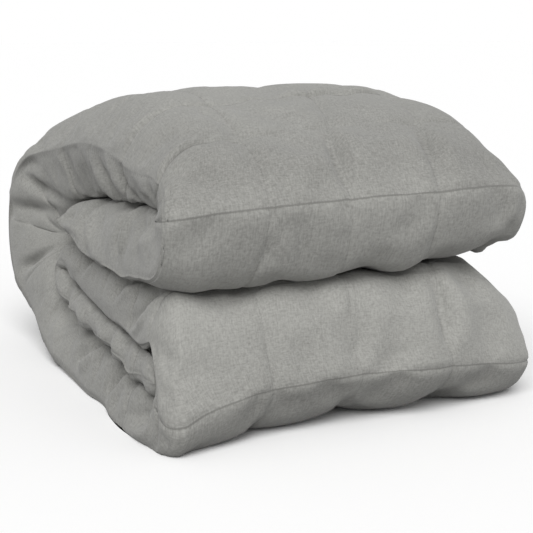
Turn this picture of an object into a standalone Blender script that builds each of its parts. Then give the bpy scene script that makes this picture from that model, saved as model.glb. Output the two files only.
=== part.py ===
# A folded weighted blanket: one thick quilted cloth, folded back and forth and stood on a table.
# The folds run along X, the open side faces -Y, and the round back of the fold faces +Y.
# Lengths in the tables are counted in quilted squares, and become metres at the end.

import bpy
import numpy as np

square = 0.100  # side of one quilted square, metres
foldedWidth = 3.96  # end to end along the folds, in squares
crossSeams = (0.97, 1.95, 2.92)  # seams that run from front to back
stepsPerSquare = 4  # faces along each quilted square
roundSteps = 4  # faces round each drawn-in end

clothGrey = (0.270, 0.268, 0.252, 1.0)
clothRoughness = 0.92

# One row for each seam across the blanket or turn of a fold, from the inner end of the cloth
# to its outer end. Seams are the whole line numbers.
# depth and height place the middle of the cloth, and thick is measured across it.
# edge is where the end seam lies: -1 on the inner face, 0 midway, 1 on the outer face.
# outerRound and innerRound are how far each face draws in at the left end.
# left and right are where the cloth ends along X.
columns = (
    "line", "depth", "height", "thick", "edge", "outerRound", "innerRound", "left", "right"
)
foldRows = (
    (0.0, 3.26, 1.64, 0.16, 0.3, 0.10, 0.12, 0.06, 3.76),  # free end, under the top layer
    (1.0, 2.32, 1.690, 0.46, 0.7, 0.12, 0.34, 0.03, 3.78),
    (2.0, 1.32, 1.675, 0.50, 0.8, 0.12, 0.34, 0.02, 3.80),
    (3.0, 0.56, 1.675, 0.54, 0.8, 0.12, 0.32, 0.01, 3.80),
    (3.5, 0.21, 1.725, 0.45, 0.8, 0.10, 0.28, 0.00, 3.80),  # upper front fold
    (4.0, 0.02, 2.000, 0.38, 0.8, 0.10, 0.26, 0.00, 3.80),
    (4.45, 0.20, 2.240, 0.46, 0.6, 0.20, 0.24, 0.04, 3.80),
    (5.25, 0.82, 2.420, 0.74, 0.1, 0.52, 0.20, 0.10, 3.80),
    (6.4, 1.76, 2.510, 1.00, 0.0, 0.74, 0.18, 0.12, 3.80),
    (7.4, 2.68, 2.465, 1.08, 0.0, 0.76, 0.18, 0.10, 3.82),
    (8.15, 3.42, 2.280, 1.10, 0.1, 0.70, 0.20, 0.05, 3.84),
    (9.0, 4.06, 1.920, 1.24, 0.5, 0.38, 0.42, -0.08, 3.88),
    (10.0, 4.32, 1.390, 1.28, 0.7, 0.26, 0.50, -0.18, 3.92),  # round back
    (11.0, 4.12, 0.840, 1.16, 0.6, 0.28, 0.46, -0.20, 3.94),
    (12.0, 3.54, 0.410, 0.78, 0.2, 0.36, 0.30, -0.18, 3.96),
    (13.0, 2.78, 0.295, 0.62, 0.4, 0.28, 0.25, -0.14, 3.96),
    (14.0, 1.83, 0.265, 0.55, 0.4, 0.24, 0.25, -0.12, 3.96),
    (15.0, 0.88, 0.225, 0.46, 0.4, 0.20, 0.20, -0.10, 3.96),
    (15.6, 0.32, 0.225, 0.42, 0.3, 0.20, 0.18, -0.08, 3.96),
    (16.0, 0.09, 0.370, 0.34, 0.2, 0.20, 0.15, -0.05, 3.95),  # lower front fold
    (16.5, 0.01, 0.690, 0.30, 0.1, 0.28, 0.15, -0.01, 3.93),
    (17.0, 0.15, 1.000, 0.38, 0.0, 0.36, 0.15, 0.00, 3.90),
    (17.5, 0.56, 1.085, 0.54, -0.5, 0.40, 0.12, 0.02, 3.86),
    (18.0, 0.95, 1.095, 0.56, -0.6, 0.42, 0.12, 0.02, 3.84),
    (19.0, 1.80, 1.140, 0.52, -0.6, 0.42, 0.12, 0.02, 3.82),
    (20.0, 2.72, 1.190, 0.37, -0.5, 0.35, 0.12, 0.02, 3.80),
    (20.7, 3.26, 1.165, 0.23, 0.0, 0.15, 0.10, 0.02, 3.80),
    (21.0, 3.37, 1.040, 0.21, 0.0, 0.12, 0.10, 0.02, 3.80),  # inner back fold
    (21.3, 3.24, 0.920, 0.23, 0.0, 0.12, 0.10, 0.03, 3.80),
    (22.0, 2.64, 0.815, 0.30, 0.0, 0.14, 0.14, 0.05, 3.78),
    (23.0, 1.66, 0.690, 0.28, 0.0, 0.14, 0.14, 0.06, 3.76),
    (24.0, 0.74, 0.590, 0.28, 0.0, 0.14, 0.14, 0.06, 3.74),
    (24.5, 0.26, 0.550, 0.16, 0.0, 0.10, 0.10, 0.06, 3.72),  # free end, in the lower fold
)

hemRound = 0.16  # length over which a free end closes, in squares
hemSteps = (0.0, 0.12, 0.4, 0.75)  # where the sections of a closing end lie, as shares of it
rightRound = {"outer": 0.46, "inner": 0.25}  # how far the faces draw in at the right end
restingLines = (12.4, 15.5)  # seam lines between which the outer face lies on the table

# Seams press valleys into the outer face.
frontSeam = {"deep": 0.070, "wide": 0.16}  # seams that run from front to back
foldSeam = {"deep": 0.030, "wide": 0.12}  # seams that run along the folds
valleyPower = 1.3  # 1 is a sharp valley and 2 a rounded one
lineNudge = 0.001  # step along the cloth for finding its direction

# The right end is squashed towards the middle height of each half of the stack.
squash = {"from": 2.75, "low": 0.30, "high": 0.50, "lowMiddle": 0.12, "highMiddle": 1.94}
squashCurve = {"power": 2.4, "most": 0.98}  # how suddenly the end rounds over
halves = {"split": 1.375, "blend": 0.08}  # height at which the halves part
backHolds = {"from": 4.6, "over": 2.2}  # the round back keeps its height

# The right front corner is set back, and the lower left one pushed forward and down.
frontDraw = {"from": 2.5, "over": 1.4, "back": 0.26, "depth": 2.6}
toe = {"wide": 0.75, "height": 0.85, "depth": 1.1, "forward": 0.34, "down": 0.10}


def easeStep(value):
    value = np.clip(value, 0.0, 1.0)
    return value * value * (3.0 - 2.0 * value)


def roundOff(value):
    # a quarter circle from 0 to 1
    return np.sqrt(np.clip(1.0 - (1.0 - np.clip(value, 0.0, 1.0)) ** 2, 0.0, 1.0))


def alongRows(line, names):
    # the named columns of foldRows at these line numbers, as a smooth curve through the rows
    table = np.array(foldRows)
    knots = table[:, 0]
    values = table[:, [columns.index(name) for name in names]]
    span = np.diff(knots)[:, None]
    slope = np.diff(values, axis=0) / span
    inside = (slope[:-1] * span[1:] + slope[1:] * span[:-1]) / (span[1:] + span[:-1])
    tangent = np.vstack([slope[:1], inside, slope[-1:]])
    start = np.clip(np.searchsorted(knots, line, side="right") - 1, 0, len(knots) - 2)
    t = ((line - knots[start]) / span[start, 0])[:, None]
    return (
        (2 * t**3 - 3 * t**2 + 1) * values[start]
        + (t**3 - 2 * t**2 + t) * span[start] * tangent[start]
        + (3 * t**2 - 2 * t**3) * values[start + 1]
        + (t**3 - t**2) * span[start] * tangent[start + 1]
    )


def linesAlongCloth():
    # line numbers of the sections, closer together where the free ends close
    first, last = foldRows[0][0], foldRows[-1][0]
    closing = hemRound * np.array(hemSteps)
    whole = np.arange(1, int(last * stepsPerSquare)) / stepsPerSquare
    whole = whole[(whole > first + hemRound) & (whole < last - hemRound)]
    return np.concatenate([first + closing, whole, last - closing[::-1]])


def acrossCloth(left, right, leftRound, rightDraw):
    # (x, fullness) along each section, from the left end seam to the right one
    turn = np.linspace(0.0, np.pi / 2, roundSteps + 1)
    x = [left + leftRound * (1 - np.cos(angle)) for angle in turn]
    full = [np.sin(angle) + 0 * left for angle in turn]
    reached = left + leftRound
    stops = list(crossSeams) + [right - rightDraw]
    for stop in stops:
        outermost = stop is stops[0] or stop is stops[-1]
        count = stepsPerSquare - 1 if outermost else stepsPerSquare
        for step in range(1, count + 1):
            x.append(reached + (stop - reached) * step / count)
            full.append(1 + 0 * left)
        reached = stop + 0 * left
    for angle in turn[-2::-1]:
        x.append(right - rightDraw * (1 - np.cos(angle)))
        full.append(np.sin(angle) + 0 * left)
    return np.stack(x, axis=1), np.stack(full, axis=1)


def valley(distance, seam):
    return seam["deep"] * np.exp(-(np.abs(distance) / seam["wide"]) ** valleyPower)


def seamValleys(line, x):
    nearest = np.min([np.abs(x - seam) for seam in crossSeams], axis=0)
    onTable = (line > restingLines[0]) & (line < restingLines[1])
    pressed = valley(nearest, frontSeam) + valley(line - np.round(line), foldSeam)
    return np.where(onTable, 0.0, pressed)


def squashRightEnd(x, y, z):
    reach = np.clip((x - squash["from"]) / (foldedWidth - squash["from"]), 0.0, 1.0)
    upper = easeStep((z - halves["split"]) / halves["blend"] + 0.5)
    most = squash["low"] + (squash["high"] - squash["low"]) * upper
    curve = squashCurve["most"] * reach ** squashCurve["power"]
    amount = most * (1 - np.sqrt(1 - curve))
    amount = amount * easeStep((backHolds["from"] - y) / backHolds["over"])
    middle = squash["lowMiddle"] + (squash["highMiddle"] - squash["lowMiddle"]) * upper
    return z + (middle - z) * amount


def settle(x, y, z):
    # what weight and handling do to the whole stack, as a smooth push at each place
    z = squashRightEnd(x, y, z)
    atRight = easeStep((x - frontDraw["from"]) / frontDraw["over"])
    atFront = easeStep((frontDraw["depth"] - y) / frontDraw["depth"])
    y = y + frontDraw["back"] * atRight * atFront
    atToe = np.exp(-((x / toe["wide"]) ** 2)) * easeStep((toe["depth"] - y) / toe["depth"])
    atToe = atToe * easeStep((toe["height"] - z) / toe["height"])
    y = y - toe["forward"] * atToe
    z = z - toe["down"] * atToe
    return x, y, np.maximum(z, 0.0)


def clothFace(line, side):
    # one face of the cloth as a grid of points: side is 1 for the outer face, -1 for the inner
    names = columns[1:]
    depth, height, thick, edge, outerRound, innerRound, left, right = alongRows(line, names).T
    ahead = alongRows(np.minimum(line + lineNudge, line[-1]), names[:2])
    behind = alongRows(np.maximum(line - lineNudge, line[0]), names[:2])
    run = ahead - behind
    run = run / np.linalg.norm(run, axis=1)[:, None]
    closing = roundOff(line / hemRound) * roundOff((line[-1] - line) / hemRound)
    half = (thick * closing / 2)[:, None]
    edge = edge[:, None]
    leftRound = outerRound if side > 0 else innerRound
    x, full = acrossCloth(left, right, leftRound, rightRound["outer" if side > 0 else "inner"])
    offset = half * (edge + (side - edge) * full)
    if side > 0:
        offset = offset - seamValleys(line[:, None], x) * full * closing[:, None]
    y = depth[:, None] - run[:, 1:] * offset
    z = height[:, None] + run[:, :1] * offset
    return np.stack(settle(x, y, z), axis=-1)


def closedCloth():
    # both faces, sewn together all round
    line = linesAlongCloth()
    outer = clothFace(line, 1)
    inner = clothFace(line, -1)
    rows, across = outer.shape[:2]
    outerIndex = np.arange(rows * across).reshape(rows, across)
    innerIndex = outerIndex + rows * across
    for border in (np.s_[0], np.s_[-1], np.s_[:, 0], np.s_[:, -1]):
        innerIndex[border] = outerIndex[border]
    points = np.concatenate([outer.reshape(-1, 3), inner.reshape(-1, 3)])
    faces = []
    for index, turned in ((outerIndex, -1), (innerIndex, 1)):
        corners = (index[:-1, :-1], index[1:, :-1], index[1:, 1:], index[:-1, 1:])
        quads = np.stack(corners, axis=-1).reshape(-1, 4)
        faces.append(quads[:, ::turned])
    faces = np.concatenate(faces)
    used, faces = np.unique(faces, return_inverse=True)
    return points[used], faces.reshape(-1, 4)


def clothMaterial():
    material = bpy.data.materials.new("brushed_grey_cloth")
    material.use_nodes = True
    shader = material.node_tree.nodes["Principled BSDF"]
    shader.inputs["Base Color"].default_value = clothGrey
    shader.inputs["Roughness"].default_value = clothRoughness
    shader.inputs["Metallic"].default_value = 0.0
    return material


def addBlanket():
    points, faces = closedCloth()
    low, high = points.min(axis=0), points.max(axis=0)
    origin = np.array([(low[0] + high[0]) / 2, (low[1] + high[1]) / 2, 0.0])
    mesh = bpy.data.meshes.new("weighted_blanket")
    mesh.from_pydata(((points - origin) * square).tolist(), [], faces.tolist())
    mesh.polygons.foreach_set("use_smooth", [True] * len(mesh.polygons))
    mesh.materials.append(clothMaterial())
    mesh.update()
    blanket = bpy.data.objects.new("weighted_blanket", mesh)
    bpy.context.scene.collection.objects.link(blanket)


for item in list(bpy.data.objects):
    bpy.data.objects.remove(item)
addBlanket()
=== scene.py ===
import math
import bpy
import numpy as np
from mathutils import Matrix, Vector


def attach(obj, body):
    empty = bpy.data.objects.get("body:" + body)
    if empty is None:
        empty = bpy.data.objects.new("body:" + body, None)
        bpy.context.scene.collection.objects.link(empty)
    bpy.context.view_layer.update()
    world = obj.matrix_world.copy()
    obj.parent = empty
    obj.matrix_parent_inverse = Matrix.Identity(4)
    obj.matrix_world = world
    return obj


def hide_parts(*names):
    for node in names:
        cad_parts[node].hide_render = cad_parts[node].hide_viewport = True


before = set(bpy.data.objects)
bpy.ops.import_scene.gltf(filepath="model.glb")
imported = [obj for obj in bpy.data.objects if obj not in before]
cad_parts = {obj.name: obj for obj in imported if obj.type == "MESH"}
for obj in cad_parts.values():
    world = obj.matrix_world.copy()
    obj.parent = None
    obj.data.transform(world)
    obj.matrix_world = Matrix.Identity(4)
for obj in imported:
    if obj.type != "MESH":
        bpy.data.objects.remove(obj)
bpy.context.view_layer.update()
scene = bpy.context.scene

# The blanket is one quilted cloth folded back and forth. Lengths here count quilted squares,
# X runs along the folds, the open side faces -Y and the round back faces +Y.
square = 0.100  # metres
centreShift = (1.8807, 2.3360, 0.0)  # squares from the left front corner to the frame's origin
tiny = 1e-9  # keeps a division by nothing from failing


quilt = {
    "width": 3.96,  # end to end along the folds
    "frontSeams": {"first": 0.97, "second": 1.95, "third": 2.92},  # seams from front to back
    # where the points lie between two seams, closer beside them: doubled after the simulation
    "alongSteps": (0.045, 0.13, 0.22, 0.31, 0.405, 0.5, 0.595, 0.69, 0.78, 0.87, 0.955, 1.0),
    "acrossSteps": (0.06, 0.21, 0.4, 0.6, 0.79, 0.94, 1.0),
    "firstSteps": (0.22, 0.44, 0.64, 0.81, 0.94, 1.0),
    "lastSteps": (0.07, 0.24, 0.48, 0.74, 1.0),
    "leftSteps": 10,  # steps round the left end
    "leftCrowd": 1.3,  # above 1 they lie closer beside the end seam
    "knife": math.radians(24),  # how sharply the faces meet at the left end seam
    "rightSteps": 5,  # steps round the right end
    "rightRound": {"outer": 0.46, "inner": 0.25},
    "hemSteps": 5,  # steps round each hem
    "hemRound": 0.16,
    "hemClear": 1.05,  # share of that which has no other points
}

# A row for each seam across the cloth, or turn of a fold, from its inner end to its outer end.
# depth and height place the middle of the cloth, edge says where the end seam lies between
# the inner face (-1) and the outer (1), and the rounds say how far each face draws in at left.
foldRows = (
    ("line", "depth", "height", "thick", "edge", "outerRound", "innerRound", "left", "right"),
    (0.0, 3.30, 1.62, 0.24, 0.5, 0.10, 0.16, 0.00, 3.76),  # free end, under the top layer
    (1.0, 2.32, 1.680, 0.48, 0.9, 0.07, 0.34, 0.01, 3.78),
    (2.0, 1.32, 1.705, 0.57, 0.9, 0.07, 0.28, 0.01, 3.80),
    (3.0, 0.56, 1.700, 0.69, 0.9, 0.05, 0.24, 0.00, 3.80),
    (3.5, 0.21, 1.720, 0.57, 0.9, 0.04, 0.20, -0.02, 3.80),  # upper front fold
    (4.0, 0.02, 2.000, 0.38, 0.8, 0.05, 0.18, -0.01, 3.80),
    (4.45, 0.20, 2.240, 0.46, 0.3, 0.24, 0.14, 0.03, 3.80),
    (5.25, 0.82, 2.415, 0.78, -0.2, 0.54, 0.12, 0.08, 3.80),
    (6.4, 1.76, 2.505, 1.02, -0.1, 0.74, 0.14, 0.10, 3.80),
    (7.4, 2.68, 2.465, 1.08, 0.0, 0.76, 0.18, 0.10, 3.82),
    (8.15, 3.42, 2.280, 1.10, 0.1, 0.70, 0.20, 0.05, 3.84),
    (9.0, 4.06, 1.920, 1.24, 0.5, 0.38, 0.42, -0.08, 3.88),
    (10.0, 4.35, 1.390, 1.22, 0.7, 0.26, 0.50, -0.18, 3.92),  # round back
    (11.0, 4.12, 0.840, 1.16, 0.6, 0.28, 0.46, -0.20, 3.94),
    (12.0, 3.54, 0.410, 0.78, 0.5, 0.26, 0.30, -0.13, 3.96),
    (13.0, 2.78, 0.295, 0.62, 0.8, 0.12, 0.27, -0.08, 3.96),
    (14.0, 1.83, 0.265, 0.55, 0.9, 0.10, 0.27, -0.08, 3.96),
    (15.0, 0.88, 0.225, 0.46, 0.9, 0.10, 0.23, -0.06, 3.96),
    (15.6, 0.32, 0.225, 0.42, 0.5, 0.14, 0.18, -0.05, 3.96),
    (16.0, 0.09, 0.370, 0.34, -0.3, 0.16, 0.12, -0.04, 3.95),  # lower front fold
    (16.5, 0.03, 0.690, 0.30, -0.8, 0.20, 0.12, -0.01, 3.93),
    (17.0, 0.20, 1.000, 0.38, -0.8, 0.26, 0.12, 0.00, 3.90),
    (17.5, 0.58, 1.040, 0.54, -0.9, 0.26, 0.10, 0.01, 3.86),
    (18.0, 0.95, 1.080, 0.53, -0.9, 0.25, 0.09, 0.01, 3.84),
    (19.0, 1.80, 1.150, 0.52, -0.9, 0.25, 0.09, 0.01, 3.82),
    (20.0, 2.72, 1.200, 0.38, -0.8, 0.26, 0.09, 0.01, 3.80),
    (20.7, 3.26, 1.165, 0.25, 0.0, 0.15, 0.10, 0.01, 3.80),
    (21.0, 3.37, 1.040, 0.23, 0.3, 0.12, 0.12, 0.00, 3.80),  # inner back fold
    (21.3, 3.24, 0.920, 0.24, 0.3, 0.12, 0.12, -0.01, 3.80),
    (22.0, 2.64, 0.810, 0.28, 0.3, 0.12, 0.12, -0.02, 3.78),
    (23.0, 1.66, 0.730, 0.25, 0.3, 0.12, 0.12, -0.02, 3.76),
    (24.0, 0.74, 0.635, 0.31, 0.3, 0.12, 0.12, -0.01, 3.74),
    (24.5, 0.26, 0.600, 0.26, 0.0, 0.10, 0.10, 0.00, 3.72),  # free end, in the lower fold
)


# The seams wander: how far each front-to-back seam sits to the right at these lines.
driftRows = (
    ("line", "first", "second", "third"),
    (0.0, 0, 0, 0),
    (3.0, -0.16, -0.20, -0.24),
    (4.0, -0.04, -0.21, -0.27),
    (4.4, 0, -0.23, -0.21),
    (4.8, 0, -0.14, -0.10),
    (5.3, 0, 0.02, 0.05),
    (6.0, 0, 0.14, 0.16),
    (8.0, 0, 0.05, 0.05),
    (14.0, 0, 0, 0),
    (15.2, -0.12, -0.16, -0.16),
    (16.0, 0, -0.07, -0.06),
    (16.3, -0.01, -0.13, -0.08),
    (17.0, -0.02, -0.08, -0.06),
    (18.0, 0, 0, 0),
    (24.5, 0, 0, 0),
)

# How far along the cloth each seam across it has slipped: at its left end, middle and right end,
# and how much further in the last stretch before the left end seam.
slipRows = (
    ("line", "atLeft", "atMiddle", "atRight", "atEnd"),
    (0.0, 0, 0, 0, 0),
    (3.0, 0, 0, 0, 0),
    (4.0, 0.02, 0.10, 0.10, 0),
    (5.0, -0.27, 0.04, 0.10, -0.26),
    (6.0, -0.22, 0, 0.50, 0.06),
    (7.0, 0, -0.10, 0, 0),
    (8.0, -0.15, 0, 0, 0.10),
    (9.0, 0, 0, 0, 0),
    (10.0, -0.15, 0, 0, 0.15),
    (11.0, 0, 0, 0, 0),
    (15.0, 0, 0, 0, 0),
    (16.0, 0.16, 0.28, 0.13, -0.14),
    (17.0, 0.14, 0.12, 0.06, 0),
    (18.0, 0, 0, 0, 0),
    (24.5, 0, 0, 0, 0),
)
slipReach = 0.22


def easeStep(value):
    value = np.clip(value, 0.0, 1.0)
    return value * value * (3.0 - 2.0 * value)


def roundOff(value):  # a quarter circle from 0 to 1
    return np.sqrt(np.clip(1.0 - (1.0 - np.clip(value, 0.0, 1.0)) ** 2, 0.0, 1.0))


def smoothRows(rows, line):
    # smooth curves through a table's rows, by the names in its first row: the line comes first
    table = np.array(rows[1:], float)
    knots = table[:, 0]
    values = table[:, 1:]
    span = np.diff(knots)[:, None]
    slope = np.diff(values, axis=0) / span
    inside = (slope[:-1] * span[1:] + slope[1:] * span[:-1]) / (span[1:] + span[:-1])
    tangent = np.vstack([slope[:1], inside, slope[-1:]])
    start = np.clip(np.searchsorted(knots, line, side="right") - 1, 0, len(knots) - 2)
    t = ((line - knots[start]) / span[start, 0])[..., None]
    span = span[start]
    curves = (
        (2 * t**3 - 3 * t**2 + 1) * values[start]
        + (t**3 - 2 * t**2 + t) * span * tangent[start]
        + (3 * t**2 - 2 * t**3) * values[start + 1]
        + (t**3 - t**2) * span * tangent[start + 1]
    )
    return dict(zip(rows[0][1:], np.moveaxis(curves, -1, 0)))


def stretch(line, shape):
    # 1 between two lines and 0 beyond them, with a soft change at each
    rise = easeStep((line - shape["from"]) / shape["rise"])
    return rise * easeStep((shape["to"] - line) / shape["fall"])


def linesAlong():
    # the line number of each row of points, closer together at the two hems
    last = foldRows[-1][0]
    hem = quilt["hemRound"]
    closing = hem * (1 - np.cos(np.linspace(0, np.pi / 2, quilt["hemSteps"] + 1)[:-1]))
    whole = (np.arange(math.ceil(last))[:, None] + quilt["alongSteps"]).ravel()
    clear = hem * quilt["hemClear"]
    whole = whole[(whole > clear) & (whole < last - clear)]
    return np.concatenate([closing, whole, last - closing[::-1]])


def seamPlaces(line):
    # x of each seam from front to back, at each line
    drift = smoothRows(driftRows, line)
    return {name: seam + drift[name] for name, seam in quilt["frontSeams"].items()}


def acrossCloth(line, left, right, leftRound, rightDraw):
    # (x, fullness) along each section, from the left end seam to the right one
    knife = quilt["knife"]
    steps = np.linspace(0.0, 1.0, quilt["leftSteps"] + 1) ** quilt["leftCrowd"]
    turn = knife + (np.pi / 2 - knife) * steps
    x = [left + leftRound * (1 - np.cos(angle) / np.cos(knife)) for angle in turn]
    level = np.sin(knife)
    full = [(np.sin(angle) - level) / (1 - level) + 0 * left for angle in turn]
    reached = left + leftRound
    stops = [*seamPlaces(line).values(), right - rightDraw]
    between = quilt["acrossSteps"]
    for stop, steps in zip(stops, (quilt["firstSteps"], between, between, quilt["lastSteps"])):
        for share in steps:
            x.append(reached + (stop - reached) * share)
            full.append(1 + 0 * left)
        reached = stop + 0 * left
    for angle in np.linspace(np.pi / 2, 0.0, quilt["rightSteps"] + 1)[1:]:
        x.append(right - rightDraw * (1 - np.cos(angle)))
        full.append(np.sin(angle) + 0 * left)
    return np.stack(x, axis=1), np.stack(full, axis=1)


# What weight and handling do to the whole stack, as a smooth push at each place.
squash = {  # at the right end each half of the stack draws in to its middle height
    "lowShare": 0.30, "lowMiddle": 0.12, "highShare": 0.50, "highMiddle": 1.94,
    "from": 2.75, "most": 0.98, "power": 2.4,
}
halves = {"split": 1.375, "blend": 0.08}
backHolds = {"from": 4.6, "over": 2.2}
frontDraw = {"from": 2.5, "over": 1.4, "back": 0.26, "depth": 2.6}
toe = {"wide": 0.75, "height": 0.85, "depth": 1.1, "forward": 0.34, "down": 0.10}


# Smaller pushes, one by one: x, y, z, how far the push spreads, and how it moves the cloth.
pushRows = (
    (0.80, 2.70, 2.97, 0.60, 0, 0, -0.05),  # top, left
    (1.45, 2.65, 3.00, 0.75, 0, 0, -0.02),
    (2.60, 2.60, 3.00, 0.60, 0, 0, -0.01),
    (3.38, 1.70, 2.92, 0.60, -0.02, 0, -0.06),  # top, right
    (3.72, 0.45, 2.38, 0.35, -0.05, 0.02, 0),
    (3.60, 0.60, 1.45, 0.45, 0.055, 0, 0.095),  # right end of the upper fold
    (3.62, 0.85, 1.33, 0.25, 0, 0, 0.05),
    (0.50, 0.15, 1.40, 0.34, 0, 0, -0.06),  # lower edge of the upper fold
    (1.00, 0.20, 1.42, 0.40, 0, 0, -0.10),
    (1.45, 0.20, 1.44, 0.34, 0, 0, -0.095),
    (2.15, 0.24, 1.45, 0.35, 0, 0, -0.085),
    (2.40, 0.25, 1.45, 0.35, 0, 0, -0.03),
    (3.55, 0.55, 1.40, 0.20, 0, 0, 0.06),
    (3.73, 0.40, 1.54, 0.18, 0.035, 0, -0.04),
    (0.20, 0.18, 1.22, 0.28, 0, 0, 0.07),  # upper edge of the lower fold
    (1.15, 0.18, 1.22, 0.28, 0, 0, 0.075),
    (1.75, 0.20, 1.22, 0.32, 0, 0, 0.13),
    (2.20, 0.22, 1.22, 0.28, 0, 0, 0.075),
    (2.70, 0.24, 1.22, 0.28, 0, 0, 0.035),
    (0.50, 0.20, 1.15, 0.36, 0, 0, 0.08),
    (1.30, 0.25, 1.15, 0.40, 0, 0, 0.11),
    (2.10, 0.30, 1.10, 0.36, 0, 0, 0.10),
    (2.80, 0.30, 1.10, 0.40, 0, 0, 0.09),
    (3.30, 0.34, 1.10, 0.36, 0, 0, 0.01),
    (1.20, 0.12, 2.48, 0.40, 0, -0.045, 0.01),  # face over the upper fold
    (2.00, 0.14, 2.46, 0.40, 0, -0.045, 0.01),
    (2.80, 0.18, 2.44, 0.40, 0, -0.04, 0.01),
    (3.66, 0.50, 1.22, 0.28, -0.03, 0, -0.04),
    (3.62, 0.66, 1.24, 0.20, -0.05, 0, -0.04),
    (3.82, 0.32, 0.70, 0.26, 0.03, 0.01, 0),
    (3.72, 0.45, 0.10, 0.40, -0.01, -0.11, 0),  # right end of the lower fold
    (1.95, 0.20, 0.08, 0.45, 0, 0.03, 0.065),
    (2.90, 0.30, 0.05, 0.22, 0, 0.04, 0.045),
    (3.35, 0.35, 0.05, 0.32, 0, -0.06, 0),
    (0.25, -0.20, 0.05, 0.30, 0, 0.04, 0.01),
    (-0.05, 0.75, 0.05, 0.45, -0.06, -0.04, -0.03),
    (-0.14, 4.15, 0.32, 0.42, 0.085, -0.03, 0.02),  # foot of the round back
    (-0.10, 4.60, 1.90, 0.50, -0.02, 0, 0.01),
)


def settle(x, y, z):
    reach = np.clip((x - squash["from"]) / (quilt["width"] - squash["from"]), 0.0, 1.0)
    upper = easeStep((z - halves["split"]) / halves["blend"] + 0.5)
    most = squash["lowShare"] + (squash["highShare"] - squash["lowShare"]) * upper
    amount = most * (1 - np.sqrt(1 - squash["most"] * reach ** squash["power"]))
    amount = amount * easeStep((backHolds["from"] - y) / backHolds["over"])
    middle = squash["lowMiddle"] + (squash["highMiddle"] - squash["lowMiddle"]) * upper
    z = z + (middle - z) * amount
    atRight = easeStep((x - frontDraw["from"]) / frontDraw["over"])
    y = y + frontDraw["back"] * atRight * easeStep((frontDraw["depth"] - y) / frontDraw["depth"])
    atToe = np.exp(-((x / toe["wide"]) ** 2)) * easeStep((toe["depth"] - y) / toe["depth"])
    atToe = atToe * easeStep((toe["height"] - z) / toe["height"])
    point = np.stack([x, y - toe["forward"] * atToe, z - toe["down"] * atToe], axis=-1)
    moved = point.copy()
    for *middle, spread, alongX, alongY, alongZ in pushRows:
        apart = np.linalg.norm(point - middle, axis=-1) / spread
        moved += np.exp(-(apart**2))[..., None] * np.array((alongX, alongY, alongZ))
    return moved


relief = {
    # valleys at the seams from front to back, at the seams across the cloth and at its ends,
    # and how unevenly the first two run
    "frontValley": {"deep": 0.050, "wide": 0.19, "power": 1.3},
    "frontUneven": {"seed": 30, "mean": 0.85, "spread": 0.5, "perLine": 1.6, "perSquare": 0.5},
    "foldValley": {"deep": 0.026, "wide": 0.15, "power": 1.3},
    "foldUneven": {"seed": 4, "mean": 0.8, "spread": 0.5, "perLine": 0.7, "perSquare": 1.9},
    "endValley": {"deep": 0.005, "wide": 0.035, "power": 1.3},
    "endPuff": {"high": 0.006, "reach": 0.16},
    "stitch": {"deep": 0.014, "wide": 0.030, "power": 2.0},
    "lip": {"high": 0.007, "reach": 0.075},  # on both sides of the stitching
    "endStitch": 0.3,  # how strongly the stitching of the end seams shows
    "leftShare": 0.70,  # how far in from the left end the seams of the top roll stay clear
    # small folds that run off the seams, and larger ones that run off the end seams
    "gather": {"seeds": (5, 6), "high": 0.008, "reach": 0.17, "perSquare": 4.0, "length": 1.2},
    "endGather": {
        "seed": 7, "high": 0.020, "reach": 0.36, "perSquare": 3.4, "length": 1.5,
        "slant": 1.3, "fade": 0.06, "fadeStart": 0.2,
    },
    "kink": {"reach": 0.16, "fade": 0.2},
    # slow unevenness of the filling, each noise by seed, bumps in a square, start and share
    "loft": {"high": 0.012, "near": (11, 2.1, 7, 0.6), "wide": (12, 1.05, 3, 1.0)},
    "layerReach": 0.75,  # how far in from an end the hidden faces still show their relief
    "outerFade": 0.08,  # how the outer face's detail starts at the end seams
    "outerStart": 0.1,
}
bareFront = {"from": 2.9, "rise": 0.3, "to": 18.6, "fall": 0.8}  # where no layer covers the face
resting = {"from": 12.4, "to": 15.5, "rise": 0.3, "fall": 0.3}  # these lines lie on the table
restingHeight = 0.16

# How strongly each seam shows: the three seams from front to back near these lines, and
# the seam across the cloth at the line itself. kink is how far a seam stands out on a fold.
showRows = (
    ("line", "first", "second", "third", "across", "kink"),
    (0.0, 0.8, 0.8, 0.8, 1.0, 0),
    (3.0, 1.0, 1.1, 1.0, 0.4, 0),
    (3.5, 0.8, 0.8, 0.7, 0.4, 0),
    (4.0, 0.3, 0.3, 0.3, 0.3, 0.075),
    (4.5, 0.5, 0.6, 0.5, 0.3, 0),
    (5.0, 0.6, 0.6, 0.6, 0.5, 0),
    (5.5, 0.8, 0.8, 0.7, 0.6, 0),
    (6.0, 0.8, 0.8, 0.7, 1.2, 0),
    (7.0, 0.8, 0.8, 0.8, 1.2, 0),
    (12.0, 0.9, 0.9, 0.9, 1.4, 0),
    (15.0, 1.2, 1.2, 1.2, 1.0, 0),
    (15.5, 1.4, 1.4, 1.3, 0.6, 0),
    (16.0, 0.5, 0.5, 0.5, 0.3, 0.080),
    (16.5, 0.3, 0.6, 0.6, 0.3, 0),
    (17.0, 0.3, 0.5, 0.5, 0.5, 0),
    (18.0, 0.7, 0.7, 0.7, 1.0, 0),
    (24.5, 0.8, 0.8, 0.8, 1.0, 0),
)


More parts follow.
